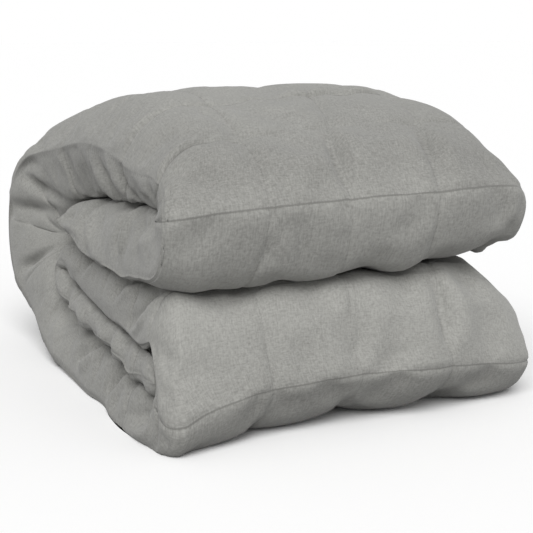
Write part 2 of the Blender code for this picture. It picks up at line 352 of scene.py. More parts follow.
# How strongly the stitching of each seam across the cloth shows, near its left end and beyond,
# and that of the seams from front to back near that line.
stitchRows = (
    ("line", "atLeft", "beyond", "along"),
    (0.0, 0.5, 0.3, 0.3),
    (3.0, 0.5, 0.3, 0.2),
    (4.0, 1.0, 1.0, 0.25),
    (5.0, 1.1, 0.15, 0.2),
    (6.0, 1.1, 0.8, 0.3),
    (7.0, 0.7, 0.7, 0.6),
    (8.0, 0.4, 0.8, 0.8),
    (10.0, 0, 0.8, 0.8),
    (11.0, 0.1, 0.8, 0.8),
    (15.0, 0.4, 0.9, 0.7),
    (16.0, 1.0, 1.0, 0.25),
    (17.0, 0.7, 0.15, 0.15),
    (18.0, 0.4, 0.2, 0.2),
    (24.5, 0.4, 0.2, 0.2),
)


# Painted light and shade on each face near a line: painted shade below the upper front fold and on
# the wall under the top roll, painted light on the lower front.
paintedLightRows = (
    ("line", "outer", "inner"),
    (0.0, 0, 0),
    (3.0, 0, 0),
    (3.9, 0, 0),
    (4.2, -0.13, -0.10),
    (5.0, -0.11, -0.12),
    (5.8, 0, -0.12),
    (8.4, 0, -0.08),
    (9.2, 0, 0),
    (15.6, -0.04, 0),
    (15.95, -0.04, 0),
    (16.2, 0.12, 0),
    (17.0, 0.14, 0),
    (17.8, 0, 0),
    (24.5, 0, 0),
)


def alongLines(rows, m, atSeam=False):
    # a table read for each line of a face, or at the seam across the cloth nearest to it
    line = m["line"][:, 0]
    found = smoothRows(rows, np.round(line) if atSeam else line)
    return {name: values[:, None] for name, values in found.items()}


def stitchShown(m):
    # the shares for seams across the cloth and for seams along it
    shown = alongLines(stitchRows, m, atSeam=True)
    left = np.maximum(np.exp(-((m["reach"] / relief["leftShare"]) ** 4)), m["inner"])
    across = shown["beyond"] + (shown["atLeft"] - shown["beyond"]) * left
    return across, shown["along"] + 0 * m["x"]


def smoothNoise(seed, *coordinates):
    # soft bumps between -1 and 1, one apart, the same on every run
    source = np.random.default_rng(seed)
    size = 64
    values = source.uniform(-1.0, 1.0, (size,) * len(coordinates))
    total = 0.0
    cells = [np.floor(c).astype(int) for c in coordinates]
    parts = [c - cell for c, cell in zip(coordinates, cells)]
    fades = [p * p * p * (p * (6 * p - 15) + 10) for p in parts]
    for corner in range(2 ** len(coordinates)):
        weight = 1.0
        index = []
        for axis, (cell, fade) in enumerate(zip(cells, fades)):
            step = (corner >> axis) & 1
            weight = weight * (fade if step else 1 - fade)
            index.append((cell + step) % size)
        total = total + weight * values[tuple(index)]
    return total


def valley(distance, shape):
    return shape["deep"] * np.exp(-(np.abs(distance) / shape["wide"]) ** shape["power"])


def uneven(m, shape, number=0):
    place = (m["line"] * shape["perLine"], m["x"] * shape["perSquare"])
    return shape["mean"] + shape["spread"] * smoothNoise(shape["seed"] + number, *place)


def gridNormals(grid, side):
    along = np.gradient(grid, axis=0)
    across = np.gradient(grid, axis=1)
    normal = np.cross(across, along) * side
    return normal / np.maximum(np.linalg.norm(normal, axis=-1, keepdims=True), tiny)


def slipped(line, x):
    # the line that each point of a section has slipped to
    slip = {name: far[:, None] for name, far in smoothRows(slipRows, line).items()}
    across = np.clip(x / quilt["width"], 0.0, 1.0)
    far = (
        slip["atLeft"] * (1 - across) * (1 - 2 * across)
        + slip["atMiddle"] * 4 * across * (1 - across)
        + slip["atRight"] * across * (2 * across - 1)
        + slip["atEnd"] * np.exp(-(x - x[:, :1]) / slipReach)
    )
    return np.clip(line[:, None] + far, line[0], line[-1])


def middleAt(place):
    fold = smoothRows(foldRows, place)
    return np.stack([fold["depth"], fold["height"]], axis=-1)


def clothFace(line, side):
    # one face of the plain folded cloth as a grid, and the measures that place its detail:
    # side is 1 for the outer face and -1 for the inner one
    facing = "outer" if side > 0 else "inner"
    ends = smoothRows(foldRows, line)
    draw = quilt["rightRound"][facing]
    x, full = acrossCloth(line, ends["left"], ends["right"], ends[facing + "Round"], draw)
    place = slipped(line, x)
    nudge = 0.001
    ahead = middleAt(np.minimum(place + nudge, line[-1]))
    run = ahead - middleAt(np.maximum(place - nudge, line[0]))
    run = run / np.linalg.norm(run, axis=-1, keepdims=True)
    hem = quilt["hemRound"]
    closing = roundOff(line / hem) * roundOff((line[-1] - line) / hem)
    fold = smoothRows(foldRows, place)
    half = fold["thick"] * closing[:, None] / 2
    offset = half * (fold["edge"] + (side - fold["edge"]) * full)
    y = fold["depth"] - run[..., 1] * offset
    z = fold["height"] + run[..., 0] * offset
    grid = settle(x, y, z)
    step = np.linalg.norm(np.diff(grid, axis=1), axis=-1)
    reach = np.concatenate([np.zeros((len(line), 1)), np.cumsum(step, axis=1)], axis=1)
    measures = {
        "line": line[:, None] + 0 * x,
        "x": x,
        "full": full,
        "reach": reach,
        "seam": acrossSeams(line, x, ends["left"], ends["right"]),
        "closing": closing[:, None] + 0 * x,
        "inner": (side < 0) + 0 * x,
        "plain": gridNormals(grid, side),
    }
    drift = smoothRows(driftRows, line)
    for name, seam in quilt["frontSeams"].items():
        measures[name] = x - seam - drift[name][:, None]  # how far to the right of the seam
    return grid, measures


def acrossSeams(line, x, left, right):
    # 0 at the left end seam, 1 to 3 at the seams from front to back and 4 at the right end
    stops = [left, *seamPlaces(line).values(), right]
    place = 0.0 * x
    for start, end in zip(stops[:-1], stops[1:]):
        place = place + np.clip((x - start[:, None]) / (end - start)[:, None], 0.0, 1.0)
    return place


def endGap(m):
    # how far each point is from the nearer end seam
    return np.minimum(m["reach"], m["reach"][:, -1:] - m["reach"])


def fadeIn(gap, over, start=0.0):
    return easeStep(gap / over + start)


def shownFace(m, side):
    # 1 where a face can be seen, fading to 0 on faces that lie between the layers
    nearEnd = np.exp(-((endGap(m) / relief["layerReach"]) ** 2))
    return np.maximum(nearEnd, stretch(m["line"], bareFront)) if side > 0 else nearEnd


def lyingFace(m, grid, side):
    # 1 where the underside lies on the table
    low = easeStep((restingHeight - grid[..., 2]) / restingHeight)
    return stretch(m["line"], resting) * low * (side > 0)


def reliefShare(m, grid, side):
    # seams and creases fade out between the layers, on the table and at the hems
    share = shownFace(m, side) * (1 - lyingFace(m, grid, side))
    return share * np.clip(m["closing"], 0, 1) ** 0.5


def toLine(m):
    # how far each point is from the nearest seam across the cloth
    return m["line"] - np.round(m["line"])


def broadRelief(m):
    # the sewn valleys, wide and soft
    atSeam = alongLines(showRows, m, atSeam=True)
    lift = -valley(toLine(m), relief["foldValley"]) * atSeam["across"] * m["full"]
    lift = lift * uneven(m, relief["foldUneven"])
    show = alongLines(showRows, m)
    for number, name in enumerate(quilt["frontSeams"]):
        deep = valley(m[name], relief["frontValley"])
        lift = lift - deep * show[name] * uneven(m, relief["frontUneven"], number)
    return lift


def foldKink(m):
    # a seam stands out where the cloth folds round it
    kink = relief["kink"]
    atSeam = alongLines(showRows, m, atSeam=True)
    away = np.abs(toLine(m)) / kink["reach"]
    return atSeam["kink"] * np.exp(-away) * m["full"] * fadeIn(endGap(m), kink["fade"])


def gathers(m, nearest):
    # small folds that run off the seams, along the cloth and across it
    shape = relief["gather"]
    ways = ((m["line"], m["x"], nearest), (m["x"], m["line"], np.abs(toLine(m))))
    ripple = 0.0
    for seed, (along, off, apart) in zip(shape["seeds"], ways):
        noise = smoothNoise(seed, along * shape["perSquare"], off * shape["length"])
        ripple = ripple + noise * np.exp(-apart / shape["reach"])
    return shape["high"] * ripple


def endGathers(m, gap):
    shape = relief["endGather"]
    along = (m["line"] + shape["slant"] * gap) * shape["perSquare"]
    ripple = smoothNoise(shape["seed"], along, gap * shape["length"])
    ripple = ripple * np.exp(-gap / shape["reach"])
    return shape["high"] * ripple * fadeIn(gap, shape["fade"], shape["fadeStart"])


def unevenFilling(grid):
    loft = relief["loft"]
    total = 0.0
    for seed, perSquare, start, share in (loft["near"], loft["wide"]):
        place = (grid[..., axis] * perSquare + start for axis in range(3))
        total = total + share * smoothNoise(seed, *place)
    return loft["high"] * total


def fineRelief(m, grid):
    # stitched grooves with their lips, gathers that run off the seams, and uneven filling
    gap = endGap(m)
    nearest = np.min([np.abs(m[name]) for name in quilt["frontSeams"]], axis=0)
    puff = relief["endPuff"]
    lift = -valley(gap, relief["endValley"])
    lift = lift + puff["high"] * gap / puff["reach"] * np.exp(1 - gap / puff["reach"])
    lip = relief["lip"]
    across, along = stitchShown(m)
    seams = ((nearest, along), (toLine(m), across), (gap, relief["endStitch"]))
    for distance, share in seams:
        apart = np.abs(distance) / lip["reach"]
        lift = lift + share * lip["high"] * apart * np.exp(1 - apart)
        lift = lift - share * valley(distance, relief["stitch"])
    return lift + gathers(m, nearest) + endGathers(m, gap) + unevenFilling(grid)


# Creases, given one by one, as soft troughs (below 0) or ridges on one face of the cloth.
# Each runs between two places, given by their line and their way in from the left end seam,
# and bends sideways by its bow: line, inward, to line, to inward, high, wide, bow.
innerCreases = (
    # wall under the top roll
    (8.10, 0.02, 8.06, 0.58, 0.034, 0.05, 0.03),
    (7.95, 0.06, 7.80, 0.56, -0.06, 0.10, 0),
    (7.44, 0.03, 7.40, 0.60, 0.034, 0.05, 0.03),
    (7.08, 0.10, 6.55, 0.54, 0.045, 0.11, 0),
    (6.80, 0.12, 6.35, 0.54, -0.055, 0.06, 0),
    (6.44, 0.06, 5.75, 0.46, 0.04, 0.10, 0),
    (6.10, 0.12, 5.40, 0.44, -0.05, 0.05, 0),
    (5.50, 0.05, 5.00, 0.38, 0.03, 0.08, 0),
    (5.30, 0.10, 4.85, 0.36, -0.04, 0.05, 0),
    # round back
    (9.22, 0.02, 8.74, 0.13, -0.07, 0.07, 0),
    (9.28, 0.10, 8.45, 0.58, -0.11, 0.09, -0.11),
    (9.83, 0.09, 8.79, 0.73, -0.15, 0.10, -0.24),
    (9.95, 0.02, 9.43, 0.74, -0.04, 0.05, -0.15),
    (9.40, 0.76, 9.63, 1.00, -0.09, 0.08, 0),
    (10.45, 0.10, 10.30, 0.85, 0.03, 0.22, 0),
    (10.76, 0.28, 10.86, 0.96, -0.18, 0.08, 0),
    (11.45, 0.15, 11.40, 0.75, 0.03, 0.22, 0),
    # upper side of the lowest layer
    (12.08, 0.50, 12.42, 0.24, 0.07, 0.06, 0),
    (11.95, 0.40, 13.00, 0.48, -0.13, 0.16, 0),
    (12.44, 0.24, 13.26, 0.60, 0.06, 0.06, 0.03),
    (13.44, 0.16, 14.04, 0.60, 0.065, 0.06, -0.03),
    (13.28, 0.20, 13.86, 0.62, -0.09, 0.09, -0.03),
    (14.56, 0.14, 14.86, 0.56, 0.065, 0.06, 0),
    (14.39, 0.14, 14.69, 0.56, -0.08, 0.09, 0),
    (15.18, 0.10, 15.84, 0.22, 0.06, 0.06, -0.03),
    (15.00, 0.14, 15.50, 0.34, -0.075, 0.09, 0),
    # inner end of the top fold
    (1.22, 0.10, 0.95, 0.34, 0.07, 0.06, 0),
    (0.95, 0.32, 1.28, 0.58, 0.07, 0.06, 0),
    (1.03, 0.10, 0.77, 0.36, -0.09, 0.09, 0),
    (0.77, 0.34, 1.08, 0.60, -0.07, 0.09, 0),
    (2.14, 0.16, 2.20, 0.68, 0.07, 0.06, -0.04),
    (1.96, 0.16, 2.01, 0.68, -0.09, 0.09, -0.04),
    (2.64, 0.30, 3.50, 0.38, 0.04, 0.08, 0),
    (2.58, 0.44, 3.30, 0.52, -0.03, 0.08, 0),
    (0.10, 0.06, 0.40, 0.20, -0.05, 0.05, 0),
    (0.30, 0.03, 0.75, 0.12, 0.035, 0.04, 0),
)
outerCreases = (
    # flap behind the lower front
    (19.76, 0.12, 19.13, 0.46, 0.06, 0.06, -0.04),
    (19.93, 0.14, 19.33, 0.48, -0.06, 0.09, -0.04),
    (18.48, 0.18, 17.86, 0.52, 0.06, 0.06, -0.04),
    (18.66, 0.20, 18.06, 0.54, -0.06, 0.09, -0.04),
    (17.86, 0.05, 17.02, 0.40, 0.06, 0.06, 0.03),
    (18.03, 0.08, 17.20, 0.46, -0.06, 0.09, 0.03),
    # seams that draw in the end of the top roll
    (5.08, 0.02, 5.04, 0.60, 0.032, 0.05, 0),
    (6.12, 0.08, 6.04, 0.66, 0.032, 0.05, 0),
    (7.10, 0.04, 7.00, 0.40, -0.02, 0.06, 0),
    (8.00, 0.04, 7.95, 0.40, -0.02, 0.06, 0),
    (8.62, 0.02, 8.95, 0.30, -0.07, 0.10, 0),
    # soft pulls on the two front faces
    (6.10, 0.88, 5.35, 1.00, -0.03, 0.07, 0),
    (5.35, 1.00, 4.06, 0.93, -0.035, 0.08, 0),
    (4.20, 1.49, 4.02, 1.48, -0.04, 0.07, 0),
    (3.55, 1.38, 3.97, 1.30, -0.06, 0.10, 0),
    (4.92, 1.90, 3.98, 1.76, -0.075, 0.11, 0.05),
    (4.92, 2.07, 4.02, 1.95, 0.035, 0.10, 0.05),
    (4.98, 2.92, 3.98, 2.72, -0.075, 0.11, 0.02),
    (4.98, 3.10, 4.02, 2.90, 0.035, 0.10, 0.02),
    (6.08, 1.90, 6.08, 3.30, 0.05, 0.06, 0),
    (16.76, 2.18, 16.14, 2.04, -0.085, 0.09, 0),
    (16.80, 2.34, 16.20, 2.21, 0.04, 0.10, 0),
    (16.95, 3.10, 16.17, 3.02, -0.075, 0.10, 0),
    (17.00, 3.28, 16.20, 3.20, 0.045, 0.11, 0),
    (16.22, 2.58, 16.02, 2.32, -0.05, 0.08, 0),
)


creaseEnd = 0.06  # how faint a crease may get at its two ends


def creaseRelief(m, side):
    total = 0.0 * m["reach"]
    rows = outerCreases if side > 0 else innerCreases
    for fromLine, inward, onLine, toInward, high, wide, bow in rows:
        along = np.array([onLine - fromLine, toInward - inward])
        length = np.linalg.norm(along)
        along = along / length
        fromStart = (m["line"] - fromLine, m["reach"] - inward)
        share = (fromStart[0] * along[0] + fromStart[1] * along[1]) / length
        held = np.clip(share, 0.0, 1.0)
        aside = fromStart[1] * along[0] - fromStart[0] * along[1] - 4 * bow * held * (1 - held)
        beyond = (share - held) * length
        taper = np.sqrt(np.clip(held * (1 - held) * 4, creaseEnd, 1))
        fade = np.exp(-((beyond / wide) ** 2)) * taper
        total = total + high * np.exp(-((aside / wide) ** 2)) * fade
    return total


borders = (np.s_[0], np.s_[-1], np.s_[:, 0], np.s_[:, -1])  # of a face's grid of points


def sewnIndex(shape):
    # numbers of the points of both faces, which share their points all round
    outer = np.arange(shape[0] * shape[1]).reshape(shape[:2])
    inner = outer + outer.size
    for border in borders:
        inner[border] = outer[border]
    return outer, inner


def quadsOf(index, turned):
    quads = (index[:-1, :-1], index[1:, :-1], index[1:, 1:], index[:-1, 1:])
    return np.stack(quads, axis=-1).reshape(-1, 4)[:, ::turned]


def sewnMesh(name, outer, inner):
    # one closed mesh of both faces, and where each grid point went in it
    for border in borders:
        outer[border] = (outer[border] + inner[border]) / 2
    index = sewnIndex(outer.shape)
    points = np.concatenate([outer.reshape(-1, 3), inner.reshape(-1, 3)])
    faces = np.concatenate([quadsOf(index[0], -1), quadsOf(index[1], 1)])
    used, faces = np.unique(faces, return_inverse=True)
    mesh = bpy.data.meshes.new(name)
    placed = (points[used] - centreShift) * square
    mesh.from_pydata(placed.tolist(), [], faces.reshape(-1, 4).tolist())
    return mesh, [np.searchsorted(used, grid) for grid in index]


def addObject(name, data):
    thing = bpy.data.objects.new(name, data)
    scene.collection.objects.link(thing)
    return thing


swelling = {
    "frames": 14,
    "most": 0.006,  # metres that a point may move
    "hidden": 0.3,  # share of that between the layers
    "innerShare": 0.5,
    "endFade": 0.15,  # it grows over this much of the cloth beside an end seam
    "seamHold": 0.03,  # the cloth is held this near a seam
    "tableHold": 0.04,  # and this low
    "settings": {
        "quality": 5,
        "mass": 0.3,
        "air_damping": 5.0,
        "tension_stiffness": 15.0,
        "compression_stiffness": 15.0,
        "shear_stiffness": 5.0,
        "bending_stiffness": 1.5,
        "use_pressure": True,
        "uniform_pressure_force": 1.5,
        "shrink_min": -0.015,  # the cloth is this much longer than its seams
    },
}


def swellCloth(faces):
    # a short cloth simulation: the cloth swells and puckers between seams that hold it
    grids = [grid.copy() for grid, _ in faces]
    mesh, index = sewnMesh("swellingCloth", *grids)
    rest = np.array([vertex.co for vertex in mesh.vertices])
    held = np.zeros(len(rest), bool)
    allowed = np.zeros(len(rest))
    for (grid, m), place, side in zip(faces, index, (1, -1)):
        toSeam = np.abs(m["seam"] - np.round(m["seam"]))
        sewn = np.minimum(np.abs(toLine(m)), toSeam) < swelling["seamHold"]
        held[place[sewn | (grid[..., 2] < swelling["tableHold"])]] = True
        hidden = swelling["hidden"]
        bare = stretch(m["line"], bareFront) if side > 0 else swelling["innerShare"]
        free = hidden + (1 - hidden) * shownFace(m, side) * bare
        allowed[place] = free * fadeIn(endGap(m), swelling["endFade"])
    cloth = addObject("swellingCloth", mesh)
    group = cloth.vertex_groups.new(name="sewn")
    group.add(np.flatnonzero(held).tolist(), 1.0, "REPLACE")
    simulation = cloth.modifiers.new("swelling", "CLOTH")
    settings = simulation.settings
    for name, value in swelling["settings"].items():
        setattr(settings, name, value)
    settings.effector_weights.gravity = 0.0
    settings.vertex_group_mass = group.name
    simulation.collision_settings.use_collision = False
    simulation.collision_settings.use_self_collision = False
    simulation.point_cache.frame_start = 1
    simulation.point_cache.frame_end = swelling["frames"]
    for frameNumber in range(1, swelling["frames"] + 1):
        scene.frame_set(frameNumber)
    evaluated = cloth.evaluated_get(bpy.context.evaluated_depsgraph_get())
    moved = np.array([vertex.co for vertex in evaluated.data.vertices]) - rest
    length = np.linalg.norm(moved, axis=1)
    print("cloth swelled, furthest move", round(float(length.max()) * 1000, 1), "mm")
    most = np.maximum(swelling["most"] * allowed, tiny)
    moved = moved * (most * np.tanh(length / most) / np.maximum(length, tiny))[:, None]
    scene.frame_set(1)
    bpy.data.objects.remove(cloth)
    bpy.data.meshes.remove(mesh)
    return [
        (grid + moved[place] / square, m) for grid, (_, m), place in zip(grids, faces, index)
    ]


def halfSteps(field):
    # a point between each two along the first axis, on a smooth curve through them
    before = np.concatenate([2 * field[:1] - field[1:2], field[:-2]])
    after = np.concatenate([field[2:], 2 * field[-1:] - field[-2:-1]])
    between = (9 * (field[:-1] + field[1:]) - before - after) / 16
    finer = np.empty((2 * len(field) - 1,) + field.shape[1:])
    finer[::2] = field
    finer[1::2] = between
    return finer


def doubled(field):
    return halfSteps(halfSteps(field).swapaxes(0, 1)).swapaxes(0, 1)


# Layers whose left end moves as a whole: between which lines, and how far in from the end.
ruffle = {
    "from": 20.9, "rise": 0.5, "reach": 0.22, "sideways": 0.045, "up": 0.018, "drop": 0.035,
    "seeds": (21, 22), "perLine": 4.6, "perSquare": 3,
}
droop = {"from": 0.4, "rise": 0.5, "to": 2.7, "fall": 0.5, "reach": 0.30, "down": 0.08}
footWave = {
    "from": 12.0, "rise": 0.4, "to": 15.6, "fall": 0.4, "reach": 0.16, "sideways": 0.030,
    "seed": 23, "perLine": 2.1, "perSquare": 2,
}


def nearLeft(m, shape):
    return np.exp(-((m["reach"] / shape["reach"]) ** 2))


def wavesAt(m, shape, seed):
    return smoothNoise(seed, m["line"] * shape["perLine"], m["reach"] * shape["perSquare"])


def ruffled(grid, m):
    # the end of the inner band is drawn up in small waves
    fade = easeStep((m["line"] - ruffle["from"]) / ruffle["rise"]) * nearLeft(m, ruffle)
    aside, up = (wavesAt(m, ruffle, seed) for seed in ruffle["seeds"])
    grid[..., 0] += fade * ruffle["sideways"] * aside
    grid[..., 2] += fade * (ruffle["up"] * up - ruffle["drop"])
    return grid


def drooped(grid, m):
    # the end of the layer in the upper fold hangs down on the layer below it
    grid[..., 2] -= stretch(m["line"], droop) * nearLeft(m, droop) * droop["down"]
    return grid


def waved(grid, m):
    # the foot of the lowest layer runs in and out a little along the table
    fade = stretch(m["line"], footWave) * nearLeft(m, footWave)
    grid[..., 0] += fade * footWave["sideways"] * wavesAt(m, footWave, footWave["seed"])
    return grid


# Where the two front folds press on each other: line, how far along the lines, x, how far
# along the fold, how far the cloth there moves up, and the share of that for its inner face.
pressRows = (
    (3.10, 0.50, 0.00, 0.16, 0.05, 1.0),  # upper fold
    (2.95, 0.45, 3.54, 0.15, 0.055, 1.0),
    (3.40, 0.35, 0.30, 0.18, -0.085, 1.0),
    (3.40, 0.35, 1.00, 0.25, -0.03, 1.0),
    (3.40, 0.35, 1.35, 0.20, -0.03, 1.0),
    (3.40, 0.35, 1.72, 0.22, -0.10, 1.0),
    (3.40, 0.35, 2.50, 0.25, -0.045, 1.0),
    (17.10, 0.40, 0.20, 0.25, 0.055, 1.0),  # lower fold
    (17.10, 0.40, 0.65, 0.20, 0.035, 1.0),
    (17.10, 0.40, 1.05, 0.25, 0.05, 1.0),
    (17.10, 0.40, 1.42, 0.20, 0.035, 1.0),
    (17.10, 0.40, 2.20, 0.20, 0.035, 1.0),
    (17.10, 0.40, 2.60, 0.22, 0.04, 1.0),
    (17.10, 0.40, 2.95, 0.25, 0.05, 1.0),
    (19.20, 1.30, 0.00, 0.32, 0.055, 0.0),
)


def pressed(grid, m):
    for line, lineReach, x, reach, up, inner in pressRows:
        apart = ((m["line"] - line) / lineReach) ** 2 + ((m["x"] - x) / reach) ** 2
        grid[..., 2] += up * np.exp(-apart) * (1 - (1 - inner) * m["inner"])
    return grid


def quiltedFaces():
    # plain folded cloth, its wide valleys, the simulation, one subdivision, then the fine detail
    line = linesAlong()
    faces = []
    for side in (1, -1):
        grid, m = clothFace(line, side)
        for move in (ruffled, drooped, waved, pressed):
            grid = move(grid, m)
        lift = broadRelief(m) * reliefShare(m, grid, side)
        grid = grid + gridNormals(grid, side) * lift[..., None]
        faces.append((grid, m))
    faces = swellCloth(faces)
    finished = []
    for (grid, m), side in zip(faces, (1, -1)):
        grid = doubled(grid)
        m = {name: doubled(field) for name, field in m.items()}
        share = reliefShare(m, grid, side)
        if side > 0:
            share = share * fadeIn(endGap(m), relief["outerFade"], relief["outerStart"])
        lift = (fineRelief(m, grid) + creaseRelief(m, side)) * share
        grid = grid + gridNormals(grid, side) * lift[..., None]
        grid = grid + m["plain"] * (foldKink(m) * share)[..., None]
        grid[..., 2] = np.maximum(grid[..., 2], 0.0)
        finished.append((grid, m))
    return finished


def clothPlaces(faces):
    # the maps that the material reads: cloth places in metres, seam places in squares,
    # how clear the seams are and the painted light and shade on each face
    maps = {"weave": [], "seams": [], "seamShares": [], "paintedShading": []}
    for (grid, m), facing, turned in zip(faces, ("outer", "inner"), (-1, 1)):
        paintedTone = 0.5 + alongLines(paintedLightRows, m)[facing] + 0 * m["x"]
        middle = grid.shape[1] // 2
        reach = m["reach"] - m["reach"][:, middle : middle + 1]
        own = np.arange(grid.shape[0] * grid.shape[1]).reshape(grid.shape[:2])
        corners = quadsOf(own, turned).reshape(-1)
        pairs = {
            "weave": (m["line"] * square, reach * square),
            "seams": (m["line"], m["seam"]),
            "seamShares": stitchShown(m),
            "paintedShading": (paintedTone, 0 * m["x"]),
        }
        for name, pair in pairs.items():
            maps[name].append(np.stack(pair, axis=-1).reshape(-1, 2)[corners])
    return {name: np.concatenate(both) for name, both in maps.items()}


clothFinish = {
    "light": (0.372, 0.370, 0.348, 1.0),
    "dark": (0.184, 0.182, 0.170, 1.0),
    "shader": {
        "Metallic": 0.0,
        "Sheen Weight": 0.22,
        "Sheen Roughness": 0.55,
        "Specular IOR Level": 0.25,
    },
    "roughness": 0.92,
    "roughFleck": 0.2,  # how much rougher the light flecks are
    "fleckTone": 3.0,  # how strongly flecks, brushed patches and the painted shade at the seams change the colour
    "handledTone": 0.7,
    "seamShadeTone": -0.7,
    "threads": 900.0,  # threads in a metre
    "threadHeight": 0.6,
    "bump": {"Strength": 0.45, "Distance": 0.0006},
}


def newGroup(name, numbers, outputs):
    # a node group that takes a place and some numbers, and puts out values
    group = bpy.data.node_groups.new(name, "ShaderNodeTree")
    group.interface.new_socket(name="Place", in_out="INPUT", socket_type="NodeSocketVector")
    number = "NodeSocketFloat"
    for words, value in numbers.items():
        socket = group.interface.new_socket(name=words, in_out="INPUT", socket_type=number)
        socket.default_value = value
    for words in outputs:
        group.interface.new_socket(name=words, in_out="OUTPUT", socket_type=number)
    entry = group.nodes.new("NodeGroupInput")
    leave = group.nodes.new("NodeGroupOutput")
    return group, entry.outputs, leave.inputs


def feed(tree, value, socket):
    # a number is set on the socket itself, and anything else is linked to it
    if isinstance(value, (int, float)):
        socket.default_value = value
    else:
        tree.links.new(value, socket)


def addMath(tree, operation, *values):
    node = tree.nodes.new("ShaderNodeMath")
    node.operation = operation
    for value, socket in zip(values, node.inputs):
        feed(tree, value, socket)
    return node.outputs[0]


def setValues(sockets, values):
    for name, value in values.items():
        sockets[name].default_value = value


def addNoise(tree, place, scale, detail, roughness):
    node = tree.nodes.new("ShaderNodeTexNoise")
    setValues(node.inputs, {"Scale": scale, "Detail": detail, "Roughness": roughness})
    tree.links.new(place, node.inputs["Vector"])
    return node.outputs["Fac"]


def addStretch(tree, place, scale):
    node = tree.nodes.new("ShaderNodeMapping")
    node.inputs["Scale"].default_value = scale
    tree.links.new(place, node.inputs["Vector"])
    return node.outputs["Vector"]


def addSplit(tree, place):
    node = tree.nodes.new("ShaderNodeSeparateXYZ")
    tree.links.new(place, node.inputs[0])
    return node.outputs


def addWave(tree, place, perUnit):
    turned = addMath(tree, "MULTIPLY", place, perUnit)
    return addMath(tree, "SINE", addMath(tree, "MULTIPLY", turned, 2 * math.pi))


weaveLook = {
    "fibres": (170.0, 620.0),  # bumps in a metre along a fibre, and across it
    "fibreNoise": (1.0, 3.0, 0.65),  # scale, detail and roughness
    "grainNoise": (420.0, 4.0, 0.75),
    "fleck": {"fibres": 0.35, "grain": 0.3},
    "height": {"grain": 1.2, "threads": 0.12},
}


def brushedWeaveGroup():
    # thread grid, brushed fibres and heathered flecks, from cloth coordinates in metres
    group, entry, leave = newGroup("brushedWeave", {"Threads": 900.0}, ("Fleck", "Height"))
    place = entry["Place"]
    fibres = []
    for scale in (weaveLook["fibres"], weaveLook["fibres"][::-1]):
        stretched = addStretch(group, place, (*scale, 1.0))
        fibres.append(addNoise(group, stretched, *weaveLook["fibreNoise"]))
    both = addMath(group, "ADD", *fibres)
    grain = addNoise(group, place, *weaveLook["grainNoise"])
    waves = [addWave(group, axis, entry["Threads"]) for axis in addSplit(group, place)[:2]]
    threads = addMath(group, "MULTIPLY", *waves)
    share = weaveLook["fleck"]
    fleck = addMath(group, "MULTIPLY", grain, share["grain"])
    fleck = addMath(group, "MULTIPLY_ADD", both, share["fibres"], fleck)
    group.links.new(fleck, leave["Fleck"])
    share = weaveLook["height"]
    height = addMath(group, "MULTIPLY_ADD", grain, share["grain"], both)
    height = addMath(group, "MULTIPLY_ADD", threads, share["threads"], height)
    group.links.new(height, leave["Height"])
    return group


def sewnSeamsGroup():
    # a row of stitches along each seam, and the seam lines that carry the painted seam shade, from
    # seam coordinates that are whole on a seam
    group, entry, leave = newGroup(
        "sewnSeams", {"Width": 0.010, "Stitches": 22.0}, ("Across", "Along", "Thread")
    )
    split = addSplit(group, entry["Place"])
    threads = []
    for axis, other, name in ((0, 1, "Across"), (1, 0, "Along")):
        shifted = addMath(group, "ADD", split[axis], 0.5)
        apart = addMath(group, "SUBTRACT", addMath(group, "FRACT", shifted), 0.5)
        near = addMath(group, "DIVIDE", addMath(group, "ABSOLUTE", apart), entry["Width"])
        seam = addMath(group, "MAXIMUM", addMath(group, "SUBTRACT", 1.0, near), 0.0)
        dash = addWave(group, split[other], entry["Stitches"])
        dash = addMath(group, "MULTIPLY_ADD", dash, 1.5, 0.9)  # the gaps are short
        dash = addMath(group, "MINIMUM", addMath(group, "MAXIMUM", dash, 0.0), 1.0)
        threads.append(addMath(group, "MULTIPLY", seam, dash))
        group.links.new(seam, leave[name])
    group.links.new(addMath(group, "MAXIMUM", *threads), leave["Thread"])
    return group


handledLook = {
    "patchNoise": (7.0, 3.0, 0.55),
    "patchShare": 0.6,
    "streaks": (30.0, 90.0, 40.0),  # bumps in a metre, each way
    "streakNoise": (1.0, 3.0, 0.6),
}


def handledClothGroup():
    # slow changes of tone where the pile has been brushed one way or the other
    group, entry, leave = newGroup("handledCloth", {}, ("Tone",))
    place = entry["Place"]
    share = handledLook["patchShare"]
    patches = addNoise(group, place, *handledLook["patchNoise"])
    streaks = addStretch(group, place, handledLook["streaks"])
    streaks = addNoise(group, streaks, *handledLook["streakNoise"])
    tone = addMath(group, "MULTIPLY", patches, share)
    tone = addMath(group, "MULTIPLY_ADD", streaks, 1.0 - share, tone)
    group.links.new(tone, leave["Tone"])
    return group


def placeGroup(tree, group, **values):
    node = tree.nodes.new("ShaderNodeGroup")
    node.node_tree = group
    for name, value in values.items():
        feed(tree, value, node.inputs[name])
    return node.outputs


def addMap(tree, name):
    node = tree.nodes.new("ShaderNodeUVMap")
    node.uv_map = name
    return node.outputs[0]


def addBlend(tree, share, colours, socket):
    # one colour where share is 0 and the other where it is 1
    node = tree.nodes.new("ShaderNodeMix")
    node.data_type = "RGBA"
    node.clamp_factor = True
    tree.links.new(share, node.inputs[0])
    node.inputs[6].default_value, node.inputs[7].default_value = colours
    tree.links.new(node.outputs[2], socket)


def newMaterial(name):
    material = bpy.data.materials.new(name)
    material.use_nodes = True
    return material, material.node_tree, material.node_tree.nodes["Principled BSDF"].inputs


